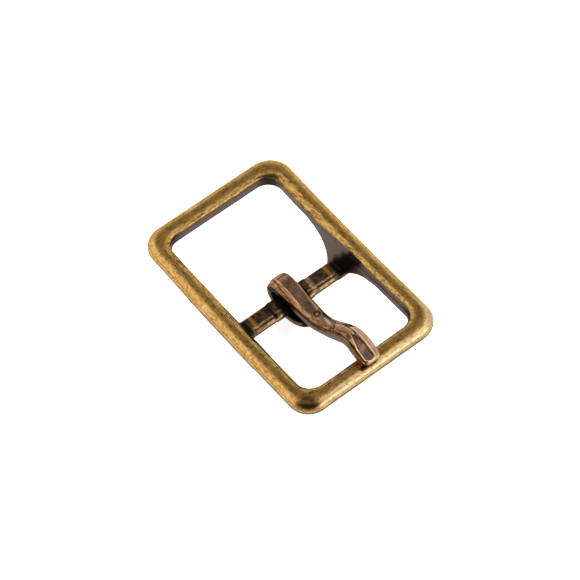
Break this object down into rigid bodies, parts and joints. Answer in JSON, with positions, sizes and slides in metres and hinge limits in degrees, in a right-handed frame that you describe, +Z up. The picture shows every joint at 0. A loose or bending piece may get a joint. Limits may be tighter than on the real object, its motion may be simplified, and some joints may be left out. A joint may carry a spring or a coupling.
{
  "type": "strap buckle",
  "caption": "Centre-bar strap buckle: a rounded rectangular frame with a dropped bar, and a bent tongue that swings on it and closes on the end rail.",
  "frame": {"origin": "under the middle of the frame, level with the lowest point of the tongue's eye", "axes": "+X along the strap towards the tongue's tip, +Y along the centre bar, +Z up, the side that shows when worn"},
  "size_m": [0.0328, 0.021, 0.0103],
  "materials": {
    "frame_brass": "antique brass, tumbled, dark in the recesses",
    "tongue_brass": "antique copper-brown brass, bright along the worn edges"
  },
  "bodies": {
    "frame": {"frame": "frame_brass"},
    "tongue": {"tongue": "tongue_brass"}
  },
  "joints": [
    {"name": "tongue_swing", "type": "hinge", "parent": "frame", "child": "tongue", "pos_m": [0, 0, 0.00284], "axis": [0, -1, 0], "range_deg": [0, 131]}
  ]
}
